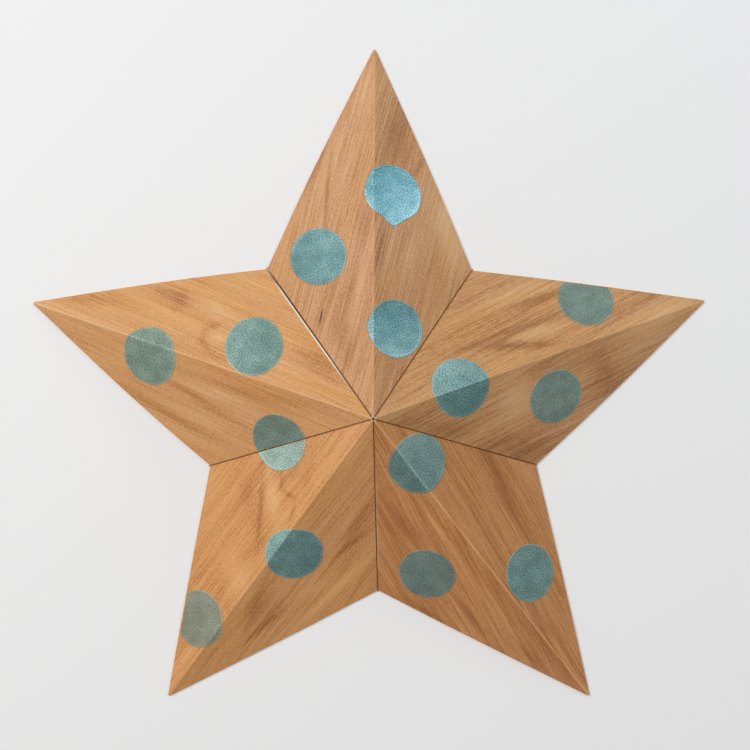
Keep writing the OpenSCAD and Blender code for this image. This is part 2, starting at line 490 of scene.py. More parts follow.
def colours(tree, factor, stops):
    """Colour by factor, from a list of (position, linear colour)."""
    ramp = add(tree, "ShaderNodeValToRGB", {"Fac": factor})
    elements = ramp.color_ramp.elements
    while len(elements) < len(stops):
        elements.new(1.0)
    for element, (position, colour) in zip(elements, stops):
        element.position = position
        element.color = (*colour, 1.0)
    return ramp.outputs["Color"]


def linear(red, green, blue):
    """A colour as a screen shows it, 0 to 255, turned into the linear light that Blender mixes."""
    shares = [value / 255 for value in (red, green, blue)]
    return tuple(s / 12.92 if s <= 0.04045 else ((s + 0.055) / 1.055) ** 2.4 for s in shares)


def new_material(name):
    """A material's tree and its shader."""
    material = bpy.data.materials.new(name)
    material.use_nodes = True
    return material, material.node_tree, material.node_tree.nodes["Principled BSDF"]


print("Honey veneer in linear light:", [round(value, 3) for value in linear(205, 152, 100)])

# %% [markdown]
# ## Five leaves of cherry veneer
# Each sheet was cut from its own part of a leaf, so each has its own grain angle and its own dark and light
# streaks. Fine veneer shows four things at once: broad clouds, growth lines, fibres and short dark pores.
# Noise alone gives an even fuzz that looks printed, so the streaks that catch the eye in the real star are
# placed one by one on the flat sheet, from end to end, with x across the ridge and y along it.

# %% Describe the leaves
@dataclass
class Streak:
    """A dark streak from one place to another, in mm. It is a light one where its depth is below 0."""

    start: tuple
    end: tuple
    half_width: float
    depth: float


@dataclass
class Leaf:
    """The grain of one sheet: its lean from the ridge in degrees, its tone and tint, its wear and its painted
    light and shade.

    rosy says how much of it is rosy wood, and fine how strong its fine fleck is. The next values say how dark
    the painted shade along its seams is, how much lighter its ridge is, partly rubbed and partly a painted
    highlight, and how worn its right seam is.
    """

    grain_lean: float
    seed: float
    tone: float
    rosy: float
    tint: tuple
    fine: float
    glued: float
    ridge_light: float
    frayed: float
    streaks: list


TOP_LEAF = Leaf(16, 3.1, 0.49, 0.65, (0.99, 1.02, 1.02), 1.25, 0.5, 0.10, 0.0, [
    # Left face: pale tip, orange edge, dark thread, pale bands, dark patches by the ridge and a fleck of gum
    Streak((-2, 114), (-5, 98), 3.0, -0.12),
    Streak((-13, 104), (-26, 74), 2.6, 0.18),
    Streak((-15, 86), (-17, 60), 0.8, 0.20),
    Streak((-9, 104), (-20, 66), 3.0, -0.08),
    Streak((-25, 78), (-31, 62), 3.0, -0.08),
    Streak((-3.4, 70), (-3.4, 56), 3.0, 0.12),
    Streak((-12, 32), (-6, 12), 3.5, 0.12),
    Streak((-17.6, 35.2), (-18.4, 31.2), 0.3, 0.8),
    # Right face: brown patch above the first dot, reddish thread, bands below the dot and a pale corner
    Streak((13, 108), (4, 76), 5.5, 0.16),
    Streak((19, 88), (13, 78), 1.0, 0.16),
    Streak((7, 59), (2, 42), 0.8, -0.16),
    Streak((3.5, 66), (1, 44), 2.2, 0.18),
    Streak((15, 62), (9, 40), 1.2, -0.10),
    Streak((23, 75), (32, 50), 5.0, -0.20),
])
RIGHT_LEAF = Leaf(-8, 17.4, 0.49, 0.45, (0.95, 1.0, 1.03), 1.1, 0.45, 0.06, 0.0, [
    # Upper face: arrow-shaped figure with its pale tongue, and the bands beyond it
    Streak((-11.6, 38), (-12.5, 72), 1.6, 0.20),
    Streak((-10.5, 40), (-3, 64), 1.4, 0.18),
    Streak((-9.5, 52), (-8, 68), 1.8, -0.14),
    Streak((-20, 57), (-20.5, 73), 1.6, 0.18),
    Streak((-23, 80), (-24, 48), 3.5, -0.14),
    # Lower face: pale tip, painted shade in a band beside its dot, pale middle, dark corner and dark inner
    # end
    Streak((-1, 116), (4, 80), 5.0, -0.14),
    Streak((2, 76), (21, 81), 5.0, 0.13),
    Streak((2, 46), (17, 48), 6.0, -0.18),
    Streak((33, 58), (25, 34), 5.0, 0.15),
    Streak((4, 8), (18, 31), 4.0, 0.10),
])
LOWER_RIGHT_LEAF = Leaf(8, 31.8, 0.45, 0.1, (0.98, 0.93, 0.94), 0.75, 0.45, 0.22, 0.15, [
    # Right face: dark band and dull middle
    Streak((-24, 32), (-18, 68), 2.0, 0.20),
    Streak((-10, 28), (-2, 55), 4.0, -0.05),
    # Left face: reddish band by the ridge, and dark and pale threads
    Streak((3, 50), (2, 108), 3.0, 0.08),
    Streak((15, 66), (16.5, 86), 1.4, 0.16),
    Streak((8.6, 90), (7.8, 104), 1.2, 0.14),
    Streak((5, 32), (5.5, 51), 0.8, -0.14),
    Streak((14, 22), (14.5, 46), 1.8, 0.10),
    Streak((31, 58), (25, 73), 1.4, 0.14),
])
LOWER_LEFT_LEAF = Leaf(1, 47.2, 0.53, 0.1, (1.05, 1.0, 0.94), 1.25, 0.45, 0.06, 0.0, [
    # Left face: flame figure, a pale tongue between two dark rings, one of them wavy, and a pale patch
    Streak((27, 42), (5, 55), 3.6, 0.08),
    Streak((19, 38), (6, 56), 1.0, 0.18),
    Streak((14, 33), (10.4, 38), 0.8, 0.17),
    Streak((10.4, 37.4), (4.6, 36), 0.8, 0.17),
    Streak((4.6, 36), (2, 43), 0.8, 0.16),
    Streak((16, 37), (6, 46), 2.4, -0.20),
    Streak((7, 24), (3.5, 34), 2.4, 0.10),
    Streak((12, 66), (0, 72), 4.5, -0.16),
    # Right face: pale bands, dark threads and an orange patch
    Streak((-30, 38), (-22, 78), 1.6, -0.18),
    Streak((-16, 67), (-23, 52), 2.6, -0.10),
    Streak((-23, 31), (-18, 48), 1.2, 0.18),
    Streak((-17.5, 24), (-18.6, 43), 2.4, 0.12),
    Streak((-10, 91), (-15, 71), 1.0, 0.16),
    Streak((-4, 66), (-9, 83), 2.4, 0.12),
    Streak((-11.5, 80), (-12, 68), 2.4, 0.10),
])
LEFT_LEAF = Leaf(5, 59.9, 0.58, 0.35, (1.05, 1.02, 0.97), 1.35, 0.45, 0.16, 0.9, [
    # Lower face: long dark bands with a pale one between them
    Streak((-18.5, 88), (-26, 47), 1.5, 0.19),
    Streak((-10, 75), (-18.5, 39), 1.5, 0.16),
    Streak((-6.5, 68), (-7.5, 26), 1.6, 0.12),
    Streak((-10, 62), (-9.5, 38), 2.0, -0.12),
    Streak((-4, 42), (-2, 9), 2.4, 0.10),
    # Upper face: dark tip, soft hooked blotch, pale patch, curl around a pale eye, and dark inner end
    Streak((4, 113), (10.5, 90), 3.0, 0.14),
    Streak((18, 85), (17, 70), 3.4, 0.14),
    Streak((21.5, 74), (13, 72), 2.2, 0.10),
    Streak((21, 68), (17, 55), 3.0, -0.12),
    Streak((15, 57), (9.5, 61), 1.3, 0.12),
    Streak((11, 61), (5, 60.5), 1.3, 0.13),
    Streak((6, 61), (2.8, 55.5), 1.2, 0.13),
    Streak((3, 57), (2.2, 49), 1.1, 0.10),
    Streak((12, 55.5), (6, 56), 2.2, -0.10),
    Streak((15, 31), (8.5, 11), 5.0, 0.16),
])
LEAVES = [TOP_LEAF, RIGHT_LEAF, LOWER_RIGHT_LEAF, LOWER_LEFT_LEAF, LEFT_LEAF]
print(sum(len(leaf.streaks) for leaf in LEAVES), "streaks on", len(LEAVES), "leaves")

# %% [markdown]
# ## The grain of cherry
# The wood's tone is a sum: each kind of noise adds its share about a middle tone, and each streak adds a
# spindle that is darkest in its middle. All of it is bent by a slow wander, because grain is never ruled. A
# wave texture could give rings, but as even as a printed pattern. So each kind of noise is stretched along
# the grain by its own amount.

# %% List the noises in the wood
@dataclass
class GrainNoise:
    """One kind of noise: its number in the seeds, and its lumps to a mm across and along the grain."""

    order: int
    per_mm: tuple
    detail: float = 2.0
    rough: float = 0.5


WANDER = GrainNoise(0, (0.03, 0.01), detail=1.0)
SHIVER = GrainNoise(1, (0.12, 0.03))
CLOUDS = GrainNoise(2, (0.05, 0.02))
BANDS = GrainNoise(3, (0.32, 0.012), rough=0.55)
FIBRES = GrainNoise(4, (2.0, 0.045), detail=3.0, rough=0.65)
PORES = GrainNoise(5, (3.0, 0.22), detail=1.0)
ROSY_BANDS = GrainNoise(6, (0.14, 0.014))
FLECKS = GrainNoise(7, (3.4, 1.1), detail=1.0)
print(f"A fibre is about {1 / FIBRES.per_mm[0]:.1f} mm wide and {1 / FIBRES.per_mm[1]:.0f} mm long")

# %% Add up the tone of the wood
# How far the grain strays aside, in millimetres: slowly, and in short waves
GRAIN_WANDER = 3.0
GRAIN_SHIVER = 0.7
# Most of a noise lies between these two values, and only its peaks are pores
NOISE_RANGE = (0.3, 0.7)
PORE_RANGE = (0.56, 0.7)
# How much each kind adds to the tone, and how far rosy and honey wood differ within a leaf
CLOUD_SHARE, BAND_SHARE, FIBRE_SHARE, PORE_SHARE, FLECK_SHARE = 0.20, 0.24, 0.19, -0.05, 0.12
ROSY_SPREAD = 0.3


def streak(tree, place, shape, total):
    """Adds one spindle-shaped streak to the tone: deepest in its middle and fading at its ends."""
    start, end = Vector((*shape.start, 0)), Vector((*shape.end, 0))
    middle, half = (start + end) / 2, (end - start) / 2
    along = half / half.length_squared
    across = Vector((-half.y, half.x, 0)).normalized() / shape.half_width
    spread = 0.0
    for way in (along, across):
        reach = add(tree, "ShaderNodeVectorMath", {0: place, 1: way}, operation="DOT_PRODUCT")
        off = sum_of(tree, "SUBTRACT", reach.outputs["Value"], middle.dot(way))
        spread = sum_of(tree, "MULTIPLY_ADD", off, off, spread)
    bell = sum_of(tree, "EXPONENT", sum_of(tree, "MULTIPLY", spread, -1.0))
    return sum_of(tree, "MULTIPLY_ADD", bell, -shape.depth, total)


def wood_tone(tree, leaf):
    """The lightness of the wood, about 0 to 1, its fibres, its pores and its rosiness."""
    flat = attribute(tree, "flat_mm", "Vector")
    lean = math.radians(leaf.grain_lean)
    along = add(tree, "ShaderNodeVectorRotate", {"Vector": flat, "Angle": lean}, rotation_type="Z_AXIS")

    def noise_of(kind, place):
        return stretched_noise(tree, place, kind.per_mm, leaf.seed + kind.order, kind.detail, kind.rough)

    wander = noise_of(WANDER, along.outputs[0])
    shiver = noise_of(SHIVER, along.outputs[0])
    shift = sum_of(tree, "MULTIPLY_ADD", wander, GRAIN_WANDER, -(GRAIN_WANDER + GRAIN_SHIVER) / 2)
    shift = sum_of(tree, "MULTIPLY_ADD", shiver, GRAIN_SHIVER, shift)
    aside = add(tree, "ShaderNodeCombineXYZ", {"X": shift}).outputs[0]
    grain = add(tree, "ShaderNodeVectorMath", {0: along.outputs[0], 1: aside}, operation="ADD").outputs[0]
    bent = add(tree, "ShaderNodeVectorMath", {0: flat, 1: aside}, operation="ADD").outputs[0]
    fibre = between(tree, noise_of(FIBRES, grain), *NOISE_RANGE)
    pore = between(tree, noise_of(PORES, grain), *PORE_RANGE)
    fleck = between(tree, noise_of(FLECKS, grain), *NOISE_RANGE)
    broad = ((noise_of(CLOUDS, grain), CLOUD_SHARE), (noise_of(BANDS, grain), BAND_SHARE))
    fine = ((fibre, FIBRE_SHARE), (pore, PORE_SHARE), (fleck, FLECK_SHARE * leaf.fine))
    shares = broad + fine
    tone = leaf.tone - sum(share for part, share in shares) / 2
    for part, share in shares:
        tone = sum_of(tree, "MULTIPLY_ADD", part, share, tone)
    for shape in leaf.streaks:
        tone = streak(tree, bent, shape, tone)
    rosy_range = (leaf.rosy - ROSY_SPREAD, leaf.rosy + ROSY_SPREAD)
    return tone, fibre, pore, between(tree, noise_of(ROSY_BANDS, grain), *NOISE_RANGE, *rosy_range)


most = CLOUD_SHARE + BAND_SHARE + FIBRE_SHARE + FLECK_SHARE
print(f"Noise moves the tone over a range of up to {most:.2f}")

# %% [markdown]
# ## The colour of cherry, its wear and its painted light and shade
# Two colour ramps, one honey and one rosy, are mixed in long bands, as cherry has both. Along the folds the
# colour changes: the ridge is lighter, partly rubbed and partly a painted highlight, the seams are darkened
# with painted shade, and where a seam or the peak has worn through the pale paper shows. Such places could be
# painted by hand, but the mesh already carries the distance from each fold.

# %% Colour the wood
HONEY_TONES = [(0.0, linear(108, 64, 32)), (0.35, linear(172, 114, 62)), (0.55, linear(208, 151, 93)),
               (0.75, linear(222, 172, 116)), (1.0, linear(238, 204, 160))]
ROSY_TONES = [(0.0, linear(112, 66, 40)), (0.35, linear(174, 118, 76)), (0.55, linear(208, 154, 110)),
              (0.75, linear(224, 177, 136)), (1.0, linear(238, 206, 172))]


def mixed(tree, factor, first, second, blend="MIX"):
    """Two colours mixed by a factor."""
    inputs = {"Factor": factor, 6: first, 7: second}
    return add(tree, "ShaderNodeMix", inputs, data_type="RGBA", blend_type=blend).outputs[2]


def wood_colour(tree, leaf, tone, rosy):
    """Honey and rosy wood of one tone, mixed, in the tint of the leaf."""
    wood = mixed(tree, rosy, colours(tree, tone, HONEY_TONES), colours(tree, tone, ROSY_TONES))
    return mixed(tree, 1.0, wood, (*leaf.tint, 1.0), blend="MULTIPLY")


print(len(HONEY_TONES), "honey tones and", len(ROSY_TONES), "rosy ones")

# %% Wear the folds, and paint light and shade on them
FRAYED_PAPER = linear(236, 226, 208)
# The brown towards which painted shade darkens the seams
SEAM_SHADE_BROWN = linear(134, 70, 20)
# Each mark fades out between these two distances in millimetres: the ridge's rub and painted highlight from
# the ridge, fraying from a frayed seam, painted shade from a seam, and paper from the peak. A seam is frayed
# from the start to the end given here, measured from the peak.
RIDGE_LIGHT_FADE = (0.12, 0.45)
FRAY_FADE = (0.35, 0.7)
SEAM_SHADE_FADE = (0.12, 0.38)
PEAK_FADE = (0.4, 1.2)
FRAY_START, FRAY_END = (10.0, 26.0), (53.0, 60.0)
# Paper shows more and more as the wood's tone rises through this range, and this much of it at the peak
FRAY_TONES = (0.2, 0.4)
PEAK_PAPER = 0.4


def ridge_rub_and_highlight(tree, leaf):
    """How much lighter the ridge is, partly rubbed and partly a painted highlight."""
    flat = add(tree, "ShaderNodeSeparateXYZ", {0: attribute(tree, "flat_mm", "Vector")})
    from_ridge = sum_of(tree, "ABSOLUTE", flat.outputs["X"])
    return between(tree, from_ridge, *RIDGE_LIGHT_FADE, leaf.ridge_light, 0.0)


def frayed_seam(tree, leaf, tone):
    """Where the fold of the right seam has broken open, or the peak has worn through to the paper, 0 to 1."""
    near = between(tree, attribute(tree, "right_seam_mm"), *FRAY_FADE, 1.0, 0.0)
    flat = attribute(tree, "flat_mm", "Vector")
    reach = add(tree, "ShaderNodeVectorMath", {0: flat}, operation="LENGTH").outputs["Value"]
    started = between(tree, reach, *FRAY_START)
    not_ended = between(tree, reach, *FRAY_END, 1.0, 0.0)
    patchy = between(tree, tone, *FRAY_TONES)
    shown = leaf.frayed
    for share in (near, started, not_ended, patchy):
        shown = sum_of(tree, "MULTIPLY", share, shown)
    at_peak = between(tree, reach, *PEAK_FADE, PEAK_PAPER, 0.0)
    return sum_of(tree, "MAXIMUM", shown, at_peak)


def painted_seam_shade(tree, leaf):
    """How much painted shade darkens the edges along the seams, 0 to 1."""
    seams = [attribute(tree, name) for name in ("left_seam_mm", "right_seam_mm")]
    return between(tree, sum_of(tree, "MINIMUM", *seams), *SEAM_SHADE_FADE, leaf.glued, 0.0)


print(f"A frayed seam is open from {FRAY_START[0]:.0f} to {FRAY_END[1]:.0f} mm from the peak")

# %% [markdown]
# ## Veneer, paper and cut edge
# The front is wood with a soft rubbed finish: its fibres stand up a little and shine, and its pores are sunk.
# The back is pale felted paper, which keeps the veneer from splitting, and the cut edge shows bare fibre
# ends. One material could tell them apart by the way a face points, but tabs and cuts both face sideways, so
# a sheet carries three materials, one for each number.

# %% Make the three finishes
# Pores are cut into the veneer by this share of the fibres' height, and fibres take this range of roughness
PORE_DEPTH = 0.8
GRAIN_RELIEF = 0.04 * MM
VENEER_ROUGHNESS = (0.6, 0.44)


def veneer(name, leaf):
    """Cherry veneer with a soft rubbed finish."""
    material, tree, shader = new_material(f"cherry_veneer_{name}")
    tone, fibre, pore, rosy = wood_tone(tree, leaf)
    # The ridge is lighter: partly rubbed, partly a painted highlight
    colour = wood_colour(tree, leaf, sum_of(tree, "ADD", tone, ridge_rub_and_highlight(tree, leaf)), rosy)
    # Painted shade darkens the wood along the seams
    colour = mixed(tree, painted_seam_shade(tree, leaf), colour, (*SEAM_SHADE_BROWN, 1.0))
    colour = mixed(tree, frayed_seam(tree, leaf, tone), colour, (*FRAYED_PAPER, 1.0))
    tree.links.new(colour, shader.inputs["Base Color"])
    relief = sum_of(tree, "MULTIPLY_ADD", pore, -PORE_DEPTH, fibre)
    bump = add(tree, "ShaderNodeBump", {"Height": relief, "Strength": 0.4, "Distance": GRAIN_RELIEF})
    tree.links.new(bump.outputs[0], shader.inputs["Normal"])
    roughness = between(tree, fibre, 0.0, 1.0, *VENEER_ROUGHNESS)
    tree.links.new(roughness, shader.inputs["Roughness"])
    shader.inputs["Specular IOR Level"].default_value = 0.35
    return material


# Lumps to a millimetre in the paper's felt, in its mottle and in the fibre ends of a cut
FELT_LUMPS, MOTTLE_LUMPS, FIBRE_END_LUMPS = (1.4, 1.4), (0.08, 0.08), (1.8, 1.8)
FELT_RELIEF = 0.05 * MM
PAPER_TONES = [(0.25, linear(190, 165, 130)), (0.75, linear(222, 203, 172))]
CUT_TONES = [(0.3, linear(196, 150, 98)), (0.7, linear(230, 198, 150))]


def backing_paper():
    """The pale paper that keeps the veneer from splitting, with a felted look."""
    material, tree, shader = new_material("backing_paper")
    flat = attribute(tree, "flat_mm", "Vector")
    felt = stretched_noise(tree, flat, FELT_LUMPS, seed=5.0, detail=4.0, rough=0.7)
    mottle = stretched_noise(tree, flat, MOTTLE_LUMPS, seed=6.0, detail=2.0)
    tone = sum_of(tree, "MULTIPLY_ADD", felt, 0.5, sum_of(tree, "MULTIPLY", mottle, 0.5))
    tree.links.new(colours(tree, tone, PAPER_TONES), shader.inputs["Base Color"])
    bump = add(tree, "ShaderNodeBump", {"Height": felt, "Strength": 0.3, "Distance": FELT_RELIEF})
    tree.links.new(bump.outputs[0], shader.inputs["Normal"])
    shader.inputs["Roughness"].default_value = 0.85
    return material


def cut_edge():
    """The bare cut edge: pale wood over a thread of paper."""
    material, tree, shader = new_material("cut_edge")
    flat = attribute(tree, "flat_mm", "Vector")
    fibre_ends = stretched_noise(tree, flat, FIBRE_END_LUMPS, seed=8.0, detail=3.0, rough=0.6)
    tree.links.new(colours(tree, fibre_ends, CUT_TONES), shader.inputs["Base Color"])
    shader.inputs["Roughness"].default_value = 0.75
    return material


paper, edge = backing_paper(), cut_edge()
for piece, name, leaf in zip(veneer_pieces, POINTS, LEAVES):
    for material in (veneer(name, leaf), paper, edge):
        piece.data.materials.append(material)
print("Materials on a sheet:", [material.name for material in veneer_pieces[0].data.materials])

# %% [markdown]
# ## Fourteen dabbed dots
# A round sponge leaves a thin film with a raised bead at its rim. The film lies on the sheet, over the ridge
# or the seam where it was pressed there. A decal in the material would be flat, so each dot is a mesh: a
# disc of rings is cut where the sheet ends, split along the lines of the ridge so that it can bend there,
# and let down on the sheet by casting a ray from each vertex. CAD and scene share the list of places.

# %% Place the dots
DOT_RADIUS = 9.25 * MM
DRIP_LENGTH = 2.0 * MM
DRIP_HALF_WIDTH = 3.8 * MM


@dataclass
class Dot:
    """A dot: its point, shares of the ways to the tip and to a corner, how it was pressed, its paint.

    The paint has a coat that hides the wood, a blueness, a depth and a shine, and a painted sheen that
    lightens it to the right and up. The last value is painted light and shade: how much lighter it is right
    of the ridge, and how much darker left of it.
    """

    point: int
    to_tip: float
    to_corner: float
    pressed: str
    coat: float
    blue: float
    deep: float
    shine: float
    painted_sheen: tuple = (0.0, 0.0)
    # Painted light and shade on the two sides of a ridge
    split: float = 0.0
    drips: bool = False

    @property
    def side(self):
        return LEFT if self.to_corner < 0 else RIGHT


DOTS = [
    Dot(0, 0.52, 0.19, "ridge", 1.0, 0.9, 0.06, 0.45, (0.18, -0.15), drips=True),
    Dot(0, 0.22, -0.515, "down", 0.9, 0.6, 0.29, 0.1, (0.07, 0.06)),
    Dot(0, 0.145, 0.215, "face", 0.9, 0.65, 0.15, 0.3, (0.05, -0.20)),
    Dot(1, 0.52, -0.38, "face", 0.62, 0.3, 0.34, 0.1),
    Dot(1, 0.34, 0.40, "face", 0.62, 0.3, 0.26, 0.1, (-0.05, 0.05)),
    Dot(1, 0.25, 0, "ridge", 0.8, 0.48, 0.10, 0.3, (-0.06, 0.06), split=-0.10),
    Dot(2, 0.14, -0.07, "ridge", 0.75, 0.4, 0.34, 0.15, (-0.05, 0.05), split=-0.11),
    Dot(2, 0.23, 0.51, "face", 0.65, 0.4, 0.47, 0.1, (-0.06, 0.03)),
    Dot(2, 0.495, -0.285, "face", 0.75, 0.4, 0.27, 0.1),
    Dot(3, 0.37, -0.155, "face", 0.8, 0.45, 0.19, 0.15, (-0.04, 0.03), split=0.10),
    Dot(3, 0.675, 0.21, "face", 0.45, 0.2, 0.29, 0.1, (0.08, 0.06)),
    Dot(4, 0.25, 0.275, "down", 0.74, 0.3, 0.05, 0.1, (-0.13, 0.0)),
    Dot(4, 0.58, -0.125, "ridge", 0.65, 0.12, 0.10, 0.1),
    Dot(4, 0.02, -0.51, "seam", 0.62, 0.3, 0.02, 0.35, (0.0, -0.10), split=0.10),
]


def dot_place(dot):
    """A dot's centre, and the axis along which the sponge was pressed."""
    sheet = sheets[dot.point]
    centre = sheet.peak + dot.to_tip * sheet.ways[1] + abs(dot.to_corner) * sheet.ways[1 + dot.side]
    others = {
        "face": UP,
        "ridge": sheet.normal(-dot.side),
        "seam": sheets[(dot.point + dot.side) % len(POINTS)].normal(-dot.side),
    }
    axis = UP if dot.pressed == "down" else sheet.normal(dot.side) + others[dot.pressed]
    return centre, axis / np.linalg.norm(axis)


print(len(DOTS), "dots of", 2 * DOT_RADIUS / MM, "mm")

# %% Draw a disc
SPOKES = 132
# How far inside the outline the rings lie, as shares of the radius: close at the rim, where the bead is
RING_INSETS = [0.0, 0.008, 0.018, 0.03, 0.045, 0.06, 0.08, 0.105, 0.14]
FIELD_RINGS = 16
# The sponge's wobble as a share of the radius, and how many lumps of it there are to a radian
SPONGE_WOBBLE = 0.006
WOBBLE_LUMPS = 1.6
# Dots on one point have wobbles of their own, because they lie this far apart in the noise
WOBBLE_SPREAD = 40
DRIP_TAPER = 1.2


def outline_radius(dot, angle):
    """How far a dot reaches at an angle, with the sponge's wobble and the drip below."""
    place = (math.cos(angle), math.sin(angle), dot.to_tip * WOBBLE_SPREAD + dot.point)
    radius = DOT_RADIUS * (1 + SPONGE_WOBBLE * noise.noise(Vector(place) * WOBBLE_LUMPS))
    if dot.drips:
        from_below = abs(math.remainder(angle + math.pi / 2, math.tau))
        shoulder = math.asin(DRIP_HALF_WIDTH / DOT_RADIUS)
        radius += DRIP_LENGTH * max(0.0, 1 - from_below / shoulder) ** DRIP_TAPER
    return radius


def disc(dot):
    """A flat disc of rings and spokes, with its centre at the origin."""
    made = bmesh.new()
    shares = [1 - inset for inset in RING_INSETS]
    shares += [shares[-1] * (1 - ring / FIELD_RINGS) for ring in range(1, FIELD_RINGS)]
    angles = [math.tau * spoke / SPOKES for spoke in range(SPOKES)]
    reach = [outline_radius(dot, angle) for angle in angles]
    rings = [[made.verts.new((share * r * math.cos(a), share * r * math.sin(a), 0))
              for a, r in zip(angles, reach)] for share in shares]
    middle = made.verts.new((0, 0, 0))
    for spoke in range(SPOKES):
        beside = (spoke + 1) % SPOKES
        for outer, inner in zip(rings, rings[1:]):
            made.faces.new((outer[spoke], outer[beside], inner[beside], inner[spoke]))
        made.faces.new((rings[-1][spoke], rings[-1][beside], middle))
    return made


print("A disc has", SPOKES, "spokes and", len(RING_INSETS) + FIELD_RINGS - 1, "rings")

# %% Cut and drape a disc
# Rays start this far off the sheet, and a film stops this far inside a rim and a seam
LIFT_OFF = 30 * MM
RIM_INSET = 0.05 * MM
SEAM_INSET = 0.12 * MM
# A cut along the rim takes one of this many lines of the sheet
RIM_STEP = 4
# Places closer than this count as one, in a cut and in the finished disc
CUT_TOLERANCE = 0.0001 * MM
WELD = 0.01 * MM


def slice_disc(made, to_local, start, end, inset=None):
    """Splits the disc along a line of the sheet. With an inset, what lies left of the line is cut away."""
    start, end = to_local(start), to_local(end)
    way = end - start
    off = np.array([way[1], -way[0], 0.0]) / np.linalg.norm(way[:2])
    place = start + off * (inset or 0.0)
    parts = made.verts[:] + made.edges[:] + made.faces[:]
    bmesh.ops.bisect_plane(made, geom=parts, dist=CUT_TOLERANCE, plane_co=(*place[:2], 0), plane_no=off,
                           clear_inner=inset is not None)


def rim_chords(front):
    """The rim of a sheet as short straight lines, from its left corner over its tip to its right corner."""
    first = 1 + len(TAB_SHARES) + FOLD_STRIPS
    picks = [*range(first, len(front) - first, RIM_STEP), len(front) - 1 - first]
    return [(front[a, -1], front[b, -1]) for a, b in zip(picks, picks[1:])]


def ground(front):
    """The front of a sheet, ready for rays to be cast on it."""
    numbers = grid_numbers(front, 0)
    quads = np.stack([numbers[:-1, :-1], numbers[1:, :-1], numbers[1:, 1:], numbers[:-1, 1:]], axis=2)
    return BVHTree.FromPolygons(front.reshape(-1, 3).tolist(), quads.reshape(-1, 4).tolist())


grounds = [ground(front) for front, back, under in grids]


def drape(dot, number):
    """The part of a dot that lies on one sheet: local places, and the places on the sheet under them."""
    sheet = sheets[number]
    centre, axis = dot_place(dot)
    to_world = np.array(Vector(UP).rotation_difference(Vector(axis)).to_matrix())

    def to_local(place):
        return (place - centre) @ to_world

    made = disc(dot)
    for start, end in rim_chords(grids[number][0]):
        slice_disc(made, to_local, start, end, RIM_INSET)
    slice_disc(made, to_local, sheet.peak, sheet.corner(LEFT), SEAM_INSET)
    slice_disc(made, to_local, sheet.corner(RIGHT), sheet.peak, SEAM_INSET)
    for start, end in rounded_fold(sheet, 1):
        slice_disc(made, to_local, start, end)
    bmesh.ops.remove_doubles(made, verts=made.verts[:], dist=WELD)
    local = np.array([vertex.co for vertex in made.verts])
    under = []
    for place in local:
        above = Vector(centre + to_world @ place)
        hit = grounds[number].ray_cast(above + LIFT_OFF * Vector(axis), Vector(-axis))[0]
        under.append(hit if hit is not None else grounds[number].find_nearest(above)[0])
    faces = [[vertex.index for vertex in face.verts] for face in made.faces]
    walls = [[vertex.index for vertex in edge.verts] for edge in made.edges if edge.is_boundary]
    made.free()
    return local, np.array(under), axis, faces, walls


local, under, axis, faces, walls = drape(DOTS[0], 0)
print(f"The first dot has {len(faces)} polygons and a rim of {len(walls)} edges")

# %% [markdown]
# ## The body of the paint
# Wet paint rolls up at the rim of the sponge and dries as a bead, thicker than the field inside it. The field
# keeps a faint pebble from the sponge. Top and underside are joined by a wall, so that the film is a closed
# mesh, and its underside lies just inside the veneer so that no light shows between them.

# %% Measure a film of paint
PAINT_THICK = 0.16 * MM
FIELD_SHARE = 0.62
EDGE_ROLL = 0.28 * MM
BEAD_INSET = 0.42 * MM
BEAD_WIDTH = 0.3 * MM
PEBBLE = 0.022 * MM
PEBBLE_LENGTH = 0.9 * MM
# Dots have pebbles of their own, because they lie up to this far apart in the noise, in metres
PEBBLE_SPREAD = 0.1
# The very edge keeps this share of the film's thickness
EDGE_SHARE = 0.12


def film_height(dot, place):
    """Thickness of the film at a place of the disc."""
    inset = outline_radius(dot, math.atan2(place[1], place[0])) - math.hypot(place[0], place[1])
    roll = min(1.0, max(0.0, inset / EDGE_ROLL))
    roll = EDGE_SHARE + (1 - EDGE_SHARE) * math.sqrt(1 - (1 - roll) ** 2)
    bead = math.exp(-((inset - BEAD_INSET) / BEAD_WIDTH) ** 2)
    pebble = PEBBLE * (soft_noise(place + PEBBLE_SPREAD * dot.to_tip, PEBBLE_LENGTH) - 0.5)
    return roll * (PAINT_THICK * (FIELD_SHARE + (1 - FIELD_SHARE) * bead) + pebble), inset


def flat_places(sheet, places):
    """Places on a sheet's faces as flat coordinates, in millimetres."""
    from_peak = places - sheet.peak
    reach = np.linalg.norm(from_peak, axis=1)
    ridge = sheet.ways[1] / np.linalg.norm(sheet.ways[1])
    angle = np.arccos(np.clip(from_peak @ ridge / reach, -1, 1))
    angle *= np.sign(from_peak @ np.cross(sheet.out, UP))
    return np.stack([reach * np.sin(angle), reach * np.cos(angle), 0 * reach], axis=1) / MM


print(f"A bead is {PAINT_THICK / MM:.2f} mm thick, and the field {FIELD_SHARE * PAINT_THICK / MM:.2f} mm")

# %% Build the films of paint
# How far the underside lies inside the veneer
SUNK = 0.03 * MM
PAINT_SHARP_EDGE = math.radians(60)


